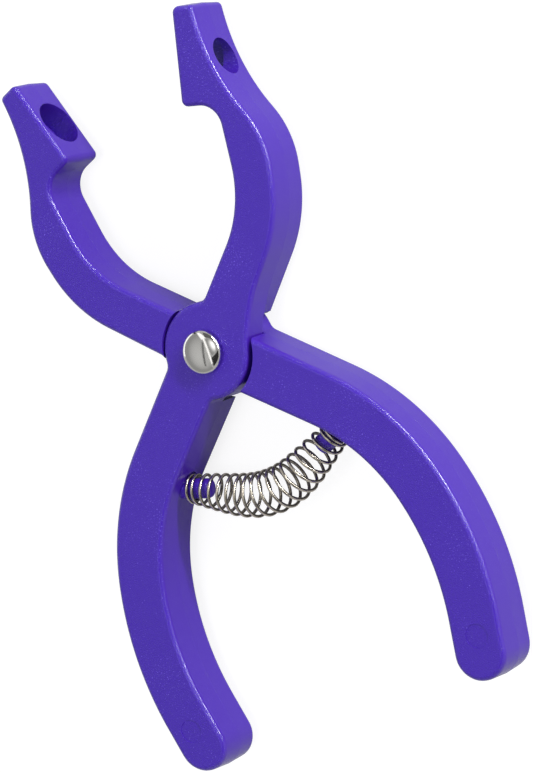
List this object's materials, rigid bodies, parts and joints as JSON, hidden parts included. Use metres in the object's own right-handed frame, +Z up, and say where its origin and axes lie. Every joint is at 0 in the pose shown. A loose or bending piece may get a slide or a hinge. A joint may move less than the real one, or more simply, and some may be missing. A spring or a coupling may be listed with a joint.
{
  "type": "safety eye pliers",
  "caption": "Spring-opened plastic pliers with half-lap crossing levers, bowed handles, and jaws with stepped holes that press a toy's safety eye and its washer together.",
  "frame": {"origin": "under the middle of the bounding box of the open pliers, at the level of the lowest point", "axes": "+Y along the tool towards the jaws, +Z up from the table, along the pivot, +X across the tool"},
  "size_m": [0.0962, 0.1634, 0.0191],
  "materials": {
    "front_lever": "satin sides, faces with a fine sparkling grain",
    "back_lever": "satin sides, faces with a fine sparkling grain",
    "return_spring": "bright drawn wire",
    "front_rivet_cap": "polished",
    "rivet_post": "plain",
    "rivet_socket": "plain",
    "back_rivet_cap": "polished"
  },
  "bodies": {
    "back_half": {"back_lever": "back_lever", "rivet_socket": "rivet_socket", "rivet_post": "rivet_post", "front_rivet_cap": "front_rivet_cap", "back_rivet_cap": "back_rivet_cap", "return_spring": "return_spring"},
    "front_half": {"front_lever": "front_lever"}
  },
  "joints": [
    {"name": "squeeze", "type": "hinge", "parent": "back_half", "child": "front_half", "pos_m": [0, 0.00826, 0.00955], "axis": [0, 0, 1], "range_deg": [0, 34.4], "stiffness_Nm_per_rad": 0.3, "deforming": ["return_spring"]}
  ]
}
